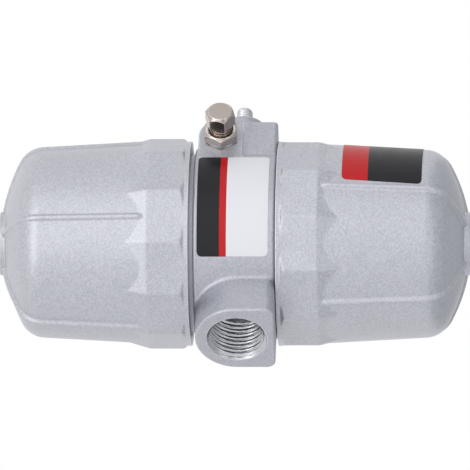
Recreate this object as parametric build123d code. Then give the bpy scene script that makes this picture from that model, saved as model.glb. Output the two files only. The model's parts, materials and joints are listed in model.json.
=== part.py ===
from build123d import *
import math
import os

# ---------------------------------------------------------------------------
# Automatic drain valve for compressed air.  Millimetres, +Z up.
# The origin is the centre of the end face of the lower bowl.  +Z runs up the
# axis of the two bowls, -Y out of the inlet port, +Y out of the outlet nipple
# and +X out of the manual drain screw.
# ---------------------------------------------------------------------------

# --- fits and seats ---------------------------------------------------------
running_fit = 0.05        # radial clearance of anything that slides or turns
thread_fit = 0.08         # radial clearance of a screwed joint that comes apart
seat_gap = 0.05           # between faces that rest on each other across a joint
seal_squeeze_gap = 0.03   # an O-ring stands this far inside the bore it seals

# --- bowl casting (measured from its mouth towards its closed end) ----------
bowl_length = 67.0
bowl_thread_radius = 31.2
bowl_thread_length = 12.5
bowl_thread_lead = 0.6
collar_wall = 4.1         # beyond the thread, at the middle of a flat
collar_flats = 2 * (bowl_thread_radius + collar_wall)
collar_sides = 12
collar_length = 14.6      # mouth to the end of the flats
mouth_wall = 2.6
collar_mouth_radius = bowl_thread_radius + mouth_wall
ramp_length = 9.0         # the flats taper into the round barrel
ramp_taper = 16.0         # degrees
barrel_wall_at_ramp = 3.2
barrel_radius_at_ramp = bowl_thread_radius + barrel_wall_at_ramp
barrel_start = 6.3        # beyond the collar, where the barrel's radius is taken
barrel_draft = 3.2        # degrees
dome_radius = 60.0
dome_corner_radius = 7.0
end_boss_radius = 11.0
end_boss_depth = 1.0      # end boss face above the crown of the dome
end_boss_edge = 0.5
rib_count = 5
rib_width = 2.0
rib_height = 0.9
rib_edge_radius = 0.65
bowl_wall = 4.0

# --- centre body -------------------------------------------------------------
body_shoulder = 2.0
body_radius = bowl_thread_radius + body_shoulder
body_height = 28.5
body_edge_radius = 0.9
lower_bowl_gap = 0.15     # body face to the mouth of the lower bowl
upper_bowl_gap = 1.4      # body face to the mouth of the upper bowl
spigot_engagement = 10.5  # length of spigot inside each bowl's thread
spigot_wall = 4.6
spigot_chamfer = 0.8
web_above_base = 7.9      # underside of the web above the body's lower face
web_thickness = 18.0
inlet_above_base = 13.1
inlet_boss_reach = 12.3
inlet_face_y = body_radius + inlet_boss_reach
inlet_boss_radius = 14.6
inlet_boss_corner = 3.0
inlet_boss_edge = 0.7
inlet_boss_root = 1.6      # fillet between the boss and the drum
inlet_major_radius = 10.4775   # G 1/2
inlet_thread_length = 17.0
inlet_duct_radius = 7.5
inlet_duct_depth = 30.0
outlet_above_base = 13.5
outlet_boss_radius = 8.0
outlet_boss_draft = 1.2    # thicker by this at its root
outlet_boss_reach = 23.6
outlet_boss_face_y = body_radius + outlet_boss_reach
outlet_boss_nose = 2.8
outlet_nose_radius = 5.0
gallery_radius = 2.5
pad_inset = 10.6
pad_y = body_radius - pad_inset
drain_below_pad = 0.6     # the bore sits this far inward of the cast pad's centre
drain_y = pad_y - drain_below_pad
drain_above_base = 19.6
pad_radius = 7.8
pad_rise = 1.28           # pad face beyond the drum at the pad's near edge
pad_edge_radius = 0.5
pad_face_x = math.sqrt(body_radius ** 2 - (pad_y - pad_radius) ** 2) + pad_rise
corner_block_inset_x = 3.6
corner_block_inset_y = 2.0
corner_block_x = body_radius - corner_block_inset_x
corner_block_y = body_radius - corner_block_inset_y
corner_block_top = 12.2   # top of the corner block above the body's lower face
corner_block_edge = 1.6
corner_block_rim = 1.4

# --- bowl seals ----------------------------------------------------------------
bowl_seal_section = 1.9
bowl_seal_offset = 1.6    # mouth of the bowl to the near side of the groove
groove_side_room = 0.3

# --- main valve, on the axis -----------------------------------------------------
seat_bore_radius = 6.0
seat_height = 3.0
seat_bore_radius_inner = 3.0
seat_lip_height = 1.0
seat_lip_radius = 4.0
valve_bore_radius = 6.5
disc_radius = 5.0
disc_thickness = 2.5
disc_plate_thickness = 1.5
piston_travel = 4.0
lift_room = 0.45          # left between the lifted valve disc's plate and the bush
bush_length = (web_thickness - seat_height - seat_lip_height - seat_gap - disc_thickness
               - disc_plate_thickness - piston_travel - lift_room)
rod_radius = 2.5
rod_end_chamfer = 0.5
rod_end_beyond_nut = 1.0
rod_shoulder_radius = 4.0
rod_shoulder_length = 1.4
rod_seal_section = 1.4

# --- cylinder and piston ---------------------------------------------------------
cylinder_bore_radius = 18.0
sleeve_wall = 2.0
sleeve_register_depth = 1.5
sleeve_height = 35.0      # above the top of the web
piston_height = 9.0
piston_above_web = 2.0    # at rest
piston_recess_radius = 10.3
piston_recess_depth = 5.0
piston_seal_section = 2.0
bore_edge_chamfer = 0.5
nut_flats = 8.0
nut_height = 4.0
spring_mean_radius = 9.2
spring_wire_radius = 0.8
spring_turns = 5.5
cover_thickness = 3.0
cover_hole_count = 6
cover_hole_radius = 1.5
cover_hole_circle = 13.0
cover_boss_radius = 7.8
cover_boss_height = 2.0
snap_ring_width = 1.2
snap_ring_depth = 1.0
snap_ring_gap = 60.0      # degrees
snap_ring_below_rim = 2.2 # top of the ring to the top of the sleeve

# --- dip tube, strainer and float --------------------------------------------------
tube_radius = 4.0
tube_wall = 1.2
tube_socket_radius = 8.0
tube_socket_length = 5.0
tube_foot_height = 10.0   # foot of the tube above the row's origin
strainer_radius = 9.0
strainer_wall = 0.6
strainer_foot_height = 6.4
strainer_height = 15.0
strainer_foot_radius = 2.0
strainer_slot_count = 12
strainer_slot_width = 1.8
strainer_slot_margin_low = 3.5
strainer_slot_margin_high = 2.5
float_room = 2.02         # between the float and the bore of the spigot it rises into
float_radius = bowl_thread_radius - thread_fit - spigot_wall - float_room
float_above_strainer = 5.6
float_edge_radius = 5.0
float_seam_width = 1.6
float_seam_height = 0.5
float_seam_edge = 0.3
float_travel = 6.0
clip_radius = 7.0
clip_thickness = 1.2
clip_gap = 5.0

# --- pilot valve --------------------------------------------------------------------
pivot_x = -9.0
pivot_below_web = 9.05
pilot_x = -13.0
pilot_duct_radius = 1.0
nozzle_shank_radius = 3.0
nozzle_shank_length = 5.0
nozzle_flats = 7.0
nozzle_flange_thickness = 2.3
nozzle_tip_radius = 1.8
nozzle_tip_edge = 0.8      # radius turned off at the tip
nozzle_tip_edge_length = 0.6
nozzle_cone_length = 1.5
nozzle_orifice_radius = 0.5
lever_thickness = 1.5
lever_width = 13.0
lever_tail = 5.8
lever_reach = 21.0
lever_tip_room = 1.4
lever_tip_radius = 1.2
lever_hub_wall = 0.8
fork_slot_width = 9.6
pad_rubber_radius = 1.6
pad_rubber_thickness = 0.8
pin_radius = 1.0
pin_head_width = 0.8
pin_head_rise = 0.4
bracket_thickness = 1.2
bracket_ear_clearance = 0.3
bracket_ear_rounding = 1.4
bracket_socket_room = 0.6
bracket_back_x = -21.0
bracket_ear_half_length = 2.0
bracket_ear_below_pin = 1.8
bracket_screw_x = -18.6
bracket_screw_y = 5.2
bracket_screw_radius = 1.2
bracket_screw_head_radius = 2.1
bracket_screw_head_height = 1.4
bracket_screw_head_edge = 0.5
bracket_screw_length = 6.0
tappet_radius = 0.8
tappet_length = 5.1

# --- manual drain ---------------------------------------------------------------------
bonnet_flats = 11.0
bonnet_turn = -48.5       # degrees about the screw's axis
bonnet_height = 3.6
bonnet_thread_radius = 4.85
bonnet_thread_length = 12.0
bonnet_floor_length = 7.0   # thick end of the bonnet that the stem runs in
washer_thickness = 0.5
washer_inset = 0.2
screw_neck_radius = 3.9
screw_neck_visible = 3.2
screw_head_flats = 9.3
screw_head_height = 5.5
screw_head_turn = -28.0
screw_stem_radius = 2.3
screw_tip_x = 10.0
screw_tip_radius = 0.6
screw_cone_length = 4.0
screw_seal_section = 1.2
screw_seal_from_end = 2.7  # end of the bonnet to the middle of the seal
screw_floor_gap = 0.3
needle_chamber_radius = 3.1
drain_supply_x = 12.6
drain_supply_radius = 1.4
drain_orifice_radius = 1.0
hex_crown_inset = 0.2      # the turned-off crown of a hexagon, inside its flats

# --- outlet nipple -----------------------------------------------------------------------
nipple_radius = 2.8
nipple_length = 6.7        # beyond the boss face
nipple_bore_radius = 1.6
nipple_shank_radius = 3.6
nipple_shank_length = 9.0
nipple_tip_radius = 2.4
nipple_nose_length = 0.8

# --- label plates ------------------------------------------------------------------------
label_thickness = 0.2
label_corner = 1.6
body_label_angles = (-51.2, 20.8)  # about +Z, from +X
body_label_margin_low = 2.3
body_label_margin_high = 1.5
bowl_label_angles = (-2.6, 59.6)   # between two ribs of the lower bowl
bowl_label_past_ramp = 0.5
bowl_label_height = 27.7

# --- heights that follow from the sizes above ----------------------------------------------
ramp_slope = math.tan(math.radians(ramp_taper))
draft_slope = math.tan(math.radians(barrel_draft))
collar_corner = collar_flats / 2 / math.cos(math.pi / collar_sides)
ramp_reach = (collar_corner - barrel_radius_at_ramp - barrel_start * draft_slope) / (ramp_slope - draft_slope)
bowl_label_near = collar_length + ramp_reach + bowl_label_past_ramp   # from the bowl's mouth
bowl_label_far = bowl_label_near + bowl_label_height
lower_mouth_z = bowl_length
body_base_z = lower_mouth_z + lower_bowl_gap
body_top_z = body_base_z + body_height
upper_mouth_z = body_top_z + upper_bowl_gap
web_base_z = body_base_z + web_above_base
web_top_z = web_base_z + web_thickness
inlet_z = body_base_z + inlet_above_base
outlet_z = body_base_z + outlet_above_base
drain_z = body_base_z + drain_above_base
spigot_radius = bowl_thread_radius - thread_fit
spigot_bore_radius = spigot_radius - spigot_wall

upper_bowl_turn = -27.5
lower_bowl_turn = 136.5


def placed_upper():
    return Pos(0, 0, upper_mouth_z) * Rot(0, 0, upper_bowl_turn)


def placed_lower():
    return Pos(0, 0, lower_mouth_z) * Rot(0, 0, lower_bowl_turn) * Rot(180, 0, 0)


def ring(outer, inner, low, high):
    """A plain ring about Z."""
    height = high - low
    body = Pos(0, 0, low) * Cylinder(outer, height, align=(Align.CENTER, Align.CENTER, Align.MIN))
    if inner <= 0:
        return body
    return body - Pos(0, 0, low) * Cylinder(inner, height, align=(Align.CENTER, Align.CENTER, Align.MIN))


def disc(radius, low, high):
    return ring(radius, 0, low, high)


def rod_x(radius, start, end, y=0.0, z=0.0):
    """A round bar along X."""
    turned = Rot(0, 90, 0) * Cylinder(radius, end - start, align=(Align.CENTER, Align.CENTER, Align.MIN))
    return Pos(start, y, z) * turned


def rod_y(radius, start, end, x=0.0, z=0.0):
    """A round bar along Y, start below end."""
    turned = Rot(-90, 0, 0) * Cylinder(radius, end - start, align=(Align.CENTER, Align.CENTER, Align.MIN))
    return Pos(x, start, z) * turned


def o_ring(ring_radius, section):
    return Torus(ring_radius, section / 2)


def hex_bar(flats, height):
    """A plain hexagon bar along Z from 0."""
    return extrude(RegularPolygon(flats / 2, 6, major_radius=False), height)


def hex_prism(flats, height):
    """A hexagon bar along Z from 0, its top corners turned off at 30 degrees."""
    crown = flats / 2 - hex_crown_inset
    beyond = flats / math.sqrt(3) + hex_crown_inset
    drop = (beyond - crown) * math.tan(math.radians(30))
    outline = Polyline((0, 0), (beyond, 0), (beyond, height - drop), (crown, height), (0, height),
                       close=True)
    return hex_bar(flats, height) & revolve(Plane.XZ * make_face(outline), Axis.Z)


# --- the bowl casting --------------------------------------------------------------
def barrel_radius(z, grow=0.0):
    """Outside radius of the drafted barrel at a distance z from the mouth."""
    start = collar_length + barrel_start
    return barrel_radius_at_ramp + grow - (z - start) * draft_slope


def dome_height(radius, grow=0.0):
    """Distance from the mouth to the dome's surface at a radius."""
    crown = bowl_length - end_boss_depth + grow
    reach = dome_radius + grow
    return crown - reach + math.sqrt(reach ** 2 - radius ** 2)


def shell_outline(start_z, grow, start_radius):
    """Half section of the barrel and dome, filled in to the axis, from start_z up."""
    low = start_z
    high = bowl_length
    for _ in range(60):
        middle = (low + high) / 2
        if dome_height(min(barrel_radius(middle, grow), dome_radius), grow) > middle:
            low = middle
        else:
            high = middle
    corner = (barrel_radius(low, grow), low)
    crown = (0, dome_height(0, grow))
    bend = (corner[0] / 2, dome_height(corner[0] / 2, grow))
    wall = Polyline((0, start_z), (start_radius, start_z), corner)
    if start_radius < barrel_radius(start_z, grow) - 1e-6:
        level = start_z + (barrel_radius(start_z, grow) - start_radius) / draft_slope
        wall = Polyline((0, start_z), (start_radius, start_z), (start_radius, level), corner)
    arc = ThreePointArc(corner, bend, crown)
    back = Line(crown, (0, start_z))
    face = make_face(Curve() + [wall, arc, back])
    edge = face.vertices().sort_by_distance(Vector(corner[0], corner[1], 0))[0]
    return fillet(edge, dome_corner_radius + grow)


def bowl_rib():
    """One raised rib, standing in the XZ plane on the +X side."""
    start = collar_length - 1
    crest = shell_outline(start, rib_height, collar_flats / 2)
    core = shell_outline(start - 1, -bowl_wall / 2, barrel_radius(start - 1, -bowl_wall / 2))
    inner = end_boss_radius - 1
    strip = crest - core - Pos(0, bowl_length / 2) * Rectangle(2 * inner, 2 * bowl_length)
    slab = extrude(Plane.XZ * strip, rib_width / 2, both=True)
    crown_edges = []
    for edge in slab.edges():
        spot = edge.center()
        on_barrel = spot.X > barrel_radius(spot.Z, rib_height / 4)
        on_dome = spot.Z > dome_height(spot.X, rib_height / 4)
        if abs(abs(spot.Y) - rib_width / 2) < 1e-3 and (on_barrel or on_dome):
            crown_edges.append(edge)
    return fillet(crown_edges, rib_edge_radius)


def bowl_casting():
    """The bowl, mouth at z = 0 and closed end towards +Z, a rib and a flat at +X."""
    blank = revolve(Plane.XZ * shell_outline(0, 0, barrel_radius(0)), Axis.Z)
    hexagon = RegularPolygon(collar_flats / 2, collar_sides, major_radius=False,
                             rotation=180 / collar_sides)
    collar = extrude(hexagon, collar_length)
    ramp = extrude(Pos(0, 0, collar_length) * hexagon, ramp_length, taper=ramp_taper)
    blank += collar + ramp
    rib = bowl_rib()
    blank += [Rot(0, 0, index * 360 / rib_count) * rib for index in range(rib_count)]
    boss_root = dome_height(end_boss_radius) - 2
    boss = disc(end_boss_radius, boss_root, bowl_length)
    blank += fillet(boss.edges().sort_by(Axis.Z)[-1], end_boss_edge)
    mouth_reach = collar_flats
    mouth_cone = Polyline((0, 0), (collar_mouth_radius, 0), (mouth_reach, mouth_reach - collar_mouth_radius),
                          (mouth_reach, bowl_length + 1), (0, bowl_length + 1), close=True)
    blank = blank & revolve(Plane.XZ * make_face(mouth_cone), Axis.Z)
    cavity_start = barrel_radius(bowl_thread_length, -bowl_wall)
    cavity = revolve(Plane.XZ * shell_outline(bowl_thread_length, -bowl_wall, cavity_start), Axis.Z)
    lead = Cone(bowl_thread_radius + bowl_thread_lead, bowl_thread_radius, bowl_thread_lead,
                align=(Align.CENTER, Align.CENTER, Align.MIN))
    return blank - disc(bowl_thread_radius, -1, bowl_thread_length) - cavity - lead


# --- the centre body ------------------------------------------------------------------
def seal_groove_middle(mouth_z, direction):
    """Middle height of the O-ring groove beyond a bowl's mouth."""
    return mouth_z + direction * (bowl_seal_offset + bowl_seal_section / 2)


def seal_groove_floor():
    return bowl_thread_radius - seal_squeeze_gap - bowl_seal_section


def inlet_boss():
    """D-shaped boss: half round above the port, square below, flush with the body's base."""
    base = body_base_z - inlet_z
    disc_above = Circle(inlet_boss_radius) & Pos(0, inlet_boss_radius / 2 + base / 2) * Rectangle(
        2 * inlet_boss_radius, inlet_boss_radius - base)
    square = Pos(0, base / 2) * Rectangle(2 * inlet_boss_radius, -base)
    profile = disc_above + square
    corners = [v for v in profile.vertices() if abs(v.Y - base) < 1e-3]
    profile = fillet(corners, inlet_boss_corner)
    bar = extrude(Plane.XZ * profile, inlet_face_y)
    face_edges = [e for e in bar.edges() if abs(e.center().Y + inlet_face_y) < 1e-3]
    return Pos(0, 0, inlet_z) * fillet(face_edges, inlet_boss_edge)


def screw_pad():
    """U-shaped pad that the bonnet of the manual drain seats on."""
    bar = rod_x(pad_radius, 0, pad_face_x, pad_y, drain_z)
    front = Pos(pad_face_x / 2, pad_y / 2, drain_z) * Box(pad_face_x, pad_y, 2 * pad_radius)
    pad = bar + front
    rim = [e for e in pad.edges() if abs(e.center().X - pad_face_x) < 1e-3]
    return fillet(rim, pad_edge_radius)


def corner_block():
    block = Pos(corner_block_x / 2, corner_block_y / 2, body_base_z + corner_block_top / 2) * Box(
        corner_block_x, corner_block_y, corner_block_top)
    outer = [e for e in block.edges()
             if abs(e.center().X - corner_block_x) < 1e-3 and abs(e.center().Y - corner_block_y) < 1e-3]
    block = fillet(outer, corner_block_edge)
    rim = [e for e in block.edges()
           if abs(e.center().Z - body_base_z) < 1e-3 and (e.center().X > 1 or e.center().Y > 1)
           and (abs(e.center().X - corner_block_x) < 2 or abs(e.center().Y - corner_block_y) < 2)]
    return fillet(rim, corner_block_rim)


def outlet_boss():
    """Round boss round the outlet with a coned nose."""
    start = body_radius / 2
    nose = outlet_boss_face_y - outlet_boss_nose
    root_radius = outlet_boss_radius + outlet_boss_draft
    outline = Polyline((0, start), (root_radius, start), (outlet_boss_radius, nose),
                       (outlet_nose_radius, outlet_boss_face_y), (0, outlet_boss_face_y), close=True)
    return Pos(0, 0, outlet_z) * revolve(make_face(outline), Axis.Y)


def drilled(start, end, radius):
    """A drilled hole between two points."""
    path = Vector(*end) - Vector(*start)
    plane = Plane(origin=start, z_dir=path)
    return extrude(plane * Circle(radius), path.length)


def drum_with_inlet():
    """Drum of the body, with the inlet boss grown out of it through a fillet."""
    drum = disc(body_radius, body_base_z, body_top_z)
    drum = fillet(drum.edges().filter_by(GeomType.CIRCLE), body_edge_radius)
    joined = drum + inlet_boss()
    seam = []
    for edge in joined.edges():
        spot = edge.center()
        on_drum = abs(math.hypot((edge @ 0.5).X, (edge @ 0.5).Y) - body_radius) < 1e-3
        if on_drum and spot.Y < 0 and spot.Z > body_base_z + 2 * inlet_boss_corner:
            seam.append(edge)
    return fillet(seam, inlet_boss_root)


def valve_body():
    casting = drum_with_inlet() + screw_pad() + corner_block() + outlet_boss()
    lower_end = lower_mouth_z - spigot_engagement
    upper_end = upper_mouth_z + spigot_engagement
    spigots = disc(spigot_radius, lower_end, upper_end)
    spigots = chamfer(spigots.edges().filter_by(GeomType.CIRCLE), spigot_chamfer)
    casting += spigots
    casting -= disc(spigot_bore_radius, lower_end - 1, web_base_z)
    casting -= disc(spigot_bore_radius, web_top_z, upper_end + 1)
    casting += disc(tube_socket_radius, web_base_z - tube_socket_length, web_base_z + 1)
    # grooves for the bowl seals
    width = bowl_seal_section + groove_side_room
    for height in (seal_groove_middle(lower_mouth_z, -1), seal_groove_middle(upper_mouth_z, 1)):
        casting -= ring(spigot_radius + 1, seal_groove_floor(), height - width / 2, height + width / 2)
    # stepped bore on the axis: tube socket, seat bore, valve bore
    seat_top = web_base_z + seat_height
    casting -= disc(tube_radius, web_base_z - tube_socket_length - 1, web_base_z)
    casting -= disc(seat_bore_radius, web_base_z, seat_top)
    casting -= disc(valve_bore_radius, seat_top, web_top_z + 1)
    # register for the cylinder sleeve
    sleeve_outer = cylinder_bore_radius + sleeve_wall
    casting -= ring(sleeve_outer, cylinder_bore_radius, web_top_z - sleeve_register_depth, web_top_z + 1)
    # inlet port and its duct down to the float chamber
    casting -= rod_y(inlet_major_radius, -inlet_face_y - 1, -inlet_face_y + inlet_thread_length, 0, inlet_z)
    casting -= rod_y(inlet_duct_radius, -inlet_face_y, -inlet_face_y + inlet_duct_depth, 0, inlet_z)
    # outlet gallery with the tapped mouth for the nipple
    casting -= rod_y(gallery_radius, 0, outlet_boss_face_y + 1, 0, outlet_z)
    casting -= rod_y(nipple_shank_radius, outlet_boss_face_y - nipple_shank_length,
                     outlet_boss_face_y + 1, 0, outlet_z)
    # manual drain: bonnet thread, needle chamber, orifice and supply
    bonnet_end = pad_face_x - bonnet_thread_length
    casting -= rod_x(bonnet_thread_radius, bonnet_end, pad_face_x + 1, drain_y, drain_z)
    casting -= rod_x(needle_chamber_radius, screw_tip_x, bonnet_end, drain_y, drain_z)
    casting -= drilled((screw_tip_x, drain_y, drain_z), (0, drain_y, outlet_z), drain_orifice_radius)
    casting -= drilled((drain_supply_x, drain_y, web_base_z - 1), (drain_supply_x, drain_y, drain_z),
                       drain_supply_radius)
    # pilot duct from the nozzle to the underside of the piston, and bracket screw holes
    casting -= drilled((pilot_x, 0, web_base_z), (pilot_x, 0, web_top_z + 1), pilot_duct_radius)
    casting -= Pos(pilot_x, 0) * disc(nozzle_shank_radius, web_base_z - 1, web_base_z + nozzle_shank_length)
    for side in (-1, 1):
        casting -= Pos(bracket_screw_x, side * bracket_screw_y) * disc(
            bracket_screw_radius, web_base_z - 1, web_base_z + bracket_screw_length)
    return casting


def bowl_seal(mouth_z, direction):
    middle = seal_groove_middle(mouth_z, direction)
    ring_radius = seal_groove_floor() + bowl_seal_section / 2
    return Pos(0, 0, middle) * o_ring(ring_radius, bowl_seal_section)


# --- main valve ----------------------------------------------------------------------------
def valve_seat():
    base = web_base_z
    top = base + seat_height
    seat = ring(seat_bore_radius, seat_bore_radius_inner, base, top)
    return seat + ring(seat_lip_radius, seat_bore_radius_inner, top, top + seat_lip_height)


def disc_base():
    return web_base_z + seat_height + seat_lip_height + seat_gap


def valve_disc():
    return disc(disc_radius, disc_base(), disc_base() + disc_thickness)


def piston_base():
    return web_top_z + piston_above_web


def piston_floor():
    return piston_base() + piston_height - piston_recess_depth


def piston_rod():
    plate = disc_base() + disc_thickness
    top = piston_floor() + nut_height + rod_end_beyond_nut
    rod = disc(disc_radius, plate, plate + disc_plate_thickness)
    stem = disc(rod_radius, plate, top)
    rod += chamfer(stem.edges().sort_by(Axis.Z)[-1], rod_end_chamfer)
    return rod + disc(rod_shoulder_radius, piston_base() - rod_shoulder_length, piston_base())


def rod_nut():
    nut = Pos(0, 0, piston_floor()) * hex_prism(nut_flats, nut_height)
    return nut - disc(rod_radius, piston_floor() - 1, piston_floor() + nut_height + 1)


def rod_seal():
    ring_radius = rod_radius + seal_squeeze_gap + rod_seal_section / 2
    return Pos(0, 0, web_top_z - bush_length + rod_seal_section / 2) * o_ring(ring_radius, rod_seal_section)


def rod_bush():
    base = web_top_z - bush_length
    bush = ring(valve_bore_radius, rod_radius + running_fit, base, web_top_z)
    pocket = rod_radius + seal_squeeze_gap + rod_seal_section
    return bush - disc(pocket, base - 1, base + rod_seal_section)


# --- cylinder and piston ---------------------------------------------------------------------
def sleeve_top():
    return web_top_z + sleeve_height


def snap_ring_base():
    return sleeve_top() - snap_ring_below_rim - snap_ring_width


def cover_base():
    return snap_ring_base() - cover_thickness


def cylinder_sleeve():
    outer = cylinder_bore_radius + sleeve_wall
    sleeve = ring(outer, cylinder_bore_radius, web_top_z - sleeve_register_depth, sleeve_top())
    groove = ring(cylinder_bore_radius + snap_ring_depth, 0, snap_ring_base(),
                  snap_ring_base() + snap_ring_width)
    rim = [e for e in sleeve.edges() if abs(e.center().Z - sleeve_top()) < 1e-3]
    return chamfer(rim, bore_edge_chamfer) - groove


def cylinder_cover():
    cover = disc(cylinder_bore_radius - running_fit, cover_base(), snap_ring_base())
    cover += disc(cover_boss_radius, cover_base() - cover_boss_height, cover_base())
    cover -= disc(rod_radius, cover_base() - cover_boss_height - 1, snap_ring_base() + 1)
    for spot in PolarLocations(cover_hole_circle, cover_hole_count):
        cover -= spot * disc(cover_hole_radius, cover_base() - 1, snap_ring_base() + 1)
    return cover


def snap_ring():
    outer = cylinder_bore_radius + snap_ring_depth
    wire = ring(outer, outer - 2 * snap_ring_depth, snap_ring_base(), snap_ring_base() + snap_ring_width)
    reach = 2 * outer
    half = math.radians(snap_ring_gap / 2)
    wedge = Polyline((0, 0), (reach * math.cos(half), reach * math.sin(half)),
                     (reach * math.cos(half), -reach * math.sin(half)), close=True)
    cut = extrude(Pos(0, 0, snap_ring_base() - 1) * make_face(wedge), snap_ring_width + 2)
    return wire - cut


def piston():
    base = piston_base()
    top = base + piston_height
    skirt = disc(cylinder_bore_radius - running_fit, base, top)
    body = chamfer(skirt.edges().filter_by(GeomType.CIRCLE), bore_edge_chamfer)
    body -= disc(rod_radius, base - 1, top)
    body -= disc(piston_recess_radius, piston_floor(), top + 1)
    half = (piston_seal_section + groove_side_room) / 2
    return body - ring(cylinder_bore_radius + 1, piston_seal_floor(), piston_seal_middle() - half,
                       piston_seal_middle() + half)


def piston_seal_floor():
    return cylinder_bore_radius - seal_squeeze_gap - piston_seal_section


def piston_seal_middle():
    return piston_base() + piston_height / 2


def piston_seal():
    return Pos(0, 0, piston_seal_middle()) * o_ring(piston_seal_floor() + piston_seal_section / 2,
                                                     piston_seal_section)


def return_spring():
    """Compression spring between the piston's recess and the cover."""
    low = piston_floor() + spring_wire_radius + seat_gap
    high = cover_base() - spring_wire_radius - seat_gap
    pitch = (high - low) / spring_turns
    helix = Helix(pitch, high - low, spring_mean_radius)
    start = Plane(origin=helix @ 0, z_dir=helix % 0)
    return Pos(0, 0, low) * sweep(start * Circle(spring_wire_radius), path=helix)


# --- dip tube, strainer, float ------------------------------------------------------------------
def dip_tube():
    return ring(tube_radius, tube_radius - tube_wall, tube_foot_height, web_base_z)


def strainer_top():
    return strainer_foot_height + strainer_height


def strainer():
    """Slotted cup pressed on the foot of the dip tube."""
    top = strainer_top()
    cup = disc(strainer_radius, strainer_foot_height, top)
    cup = fillet(cup.edges().sort_by(Axis.Z)[0], strainer_foot_radius)
    hollow = disc(strainer_radius - strainer_wall, strainer_foot_height + strainer_wall, top - strainer_wall)
    hollow = fillet(hollow.edges().sort_by(Axis.Z)[0], strainer_foot_radius - strainer_wall)
    cup -= hollow
    slot_low = strainer_foot_height + strainer_slot_margin_low
    slot_high = top - strainer_slot_margin_high
    slot = Pos(strainer_radius, 0, (slot_low + slot_high) / 2) * Box(
        strainer_radius, strainer_slot_width, slot_high - slot_low)
    for index in range(strainer_slot_count):
        cup -= Rot(0, 0, index * 360 / strainer_slot_count) * slot
    return cup - disc(tube_radius, top - 2 * strainer_wall, top + 1)


def float_bottom():
    return strainer_top() + float_above_strainer


def float_top():
    return tappet_top() - tappet_length


def tappet_spots():
    reach_x = pivot_x + lever_reach
    reach_y = (lever_width + fork_slot_width) / 4
    return [(reach_x, -reach_y), (reach_x, reach_y)]


def lever_slope():
    """Slope of the fork at rest: it swings as far above level as below it."""
    return math.degrees(math.asin(float_travel / 2 / lever_reach))


def pivot_z():
    return web_base_z - pivot_below_web


def tappet_top():
    tip = pivot_z() - lever_reach * math.sin(math.radians(lever_slope()))
    return tip - lever_thickness / 2 / math.cos(math.radians(lever_slope())) - 3 * seat_gap


def float_body():
    """Annular float with two tappets that lift the pilot lever."""
    shell = disc(float_radius, float_bottom(), float_top())
    shell = fillet(shell.edges().filter_by(GeomType.CIRCLE), float_edge_radius)
    middle = (float_bottom() + float_top()) / 2
    seam = disc(float_radius + float_seam_height, middle - float_seam_width / 2,
                middle + float_seam_width / 2)
    shell += fillet(seam.edges().filter_by(GeomType.CIRCLE), float_seam_edge)
    for spot in tappet_spots():
        shell += Pos(*spot) * disc(tappet_radius, float_top() - 1, tappet_top() - tappet_radius)
        shell += Pos(*spot, tappet_top() - tappet_radius) * Sphere(tappet_radius)
    return shell - disc(tube_radius + running_fit, float_bottom() - 1, float_top() + 1)


def float_clip():
    """Clip that stops the float at the bottom of its stroke."""
    top = float_bottom() - seat_gap
    clip = ring(clip_radius, tube_radius, top - clip_thickness, top)
    opening = Box(2 * clip_radius, clip_gap, 2 * clip_thickness)
    return clip - Pos(clip_radius, 0, top - clip_thickness / 2) * opening


# --- pilot valve ------------------------------------------------------------------------------------
def pad_top():
    return pivot_z() + lever_thickness / 2 + pad_rubber_thickness


def pilot_nozzle():
    flange_low = web_base_z - bracket_thickness - nozzle_flange_thickness
    nozzle = disc(nozzle_shank_radius, flange_low, web_base_z + nozzle_shank_length)
    nozzle += Pos(0, 0, flange_low) * hex_bar(nozzle_flats, nozzle_flange_thickness)
    tip = pad_top() + seat_gap
    cone_low = flange_low - nozzle_cone_length
    outline = Polyline((0, tip), (nozzle_tip_radius - nozzle_tip_edge, tip),
                       (nozzle_tip_radius, tip + nozzle_tip_edge_length), (nozzle_tip_radius, cone_low),
                       (nozzle_shank_radius, flange_low), (0, flange_low), close=True)
    nozzle += revolve(Plane.XZ * make_face(outline), Axis.Z)
    bore = disc(nozzle_orifice_radius, pad_top() - 1, web_base_z + nozzle_shank_length + 1)
    counter = disc(pilot_duct_radius, flange_low, web_base_z + nozzle_shank_length + 1)
    return Pos(pilot_x, 0) * (nozzle - bore - counter)


def pilot_lever():
    """Cranked lever: a level tail under the nozzle and a fork that slopes down to the float."""
    tail = Pos(-lever_tail / 2, 0) * Box(lever_tail, lever_width, lever_thickness)
    fork_length = lever_reach / math.cos(math.radians(lever_slope())) + lever_tip_room
    fork = Pos(fork_length / 2, 0) * Box(fork_length, lever_width, lever_thickness)
    ends = [e for e in fork.edges().filter_by(Axis.Z) if e.center().X > fork_length / 2]
    fork = fillet(ends, lever_tip_radius)
    slot_start = tube_radius
    slot = Pos(slot_start + fork_length / 2, 0) * Box(fork_length, fork_slot_width, 4 * lever_thickness)
    hub = Rot(90, 0, 0) * Cylinder(pin_radius + lever_hub_wall, lever_width)
    lever = tail + hub + Rot(0, lever_slope(), 0) * (fork - slot)
    bore = Rot(90, 0, 0) * Cylinder(pin_radius + running_fit, 2 * lever_width)
    return Pos(pivot_x, 0, pivot_z()) * (lever - bore)


def pilot_pad():
    return Pos(pilot_x, 0) * disc(pad_rubber_radius, pad_top() - pad_rubber_thickness, pad_top())


def ear_inner():
    return lever_width / 2 + bracket_ear_clearance


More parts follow.
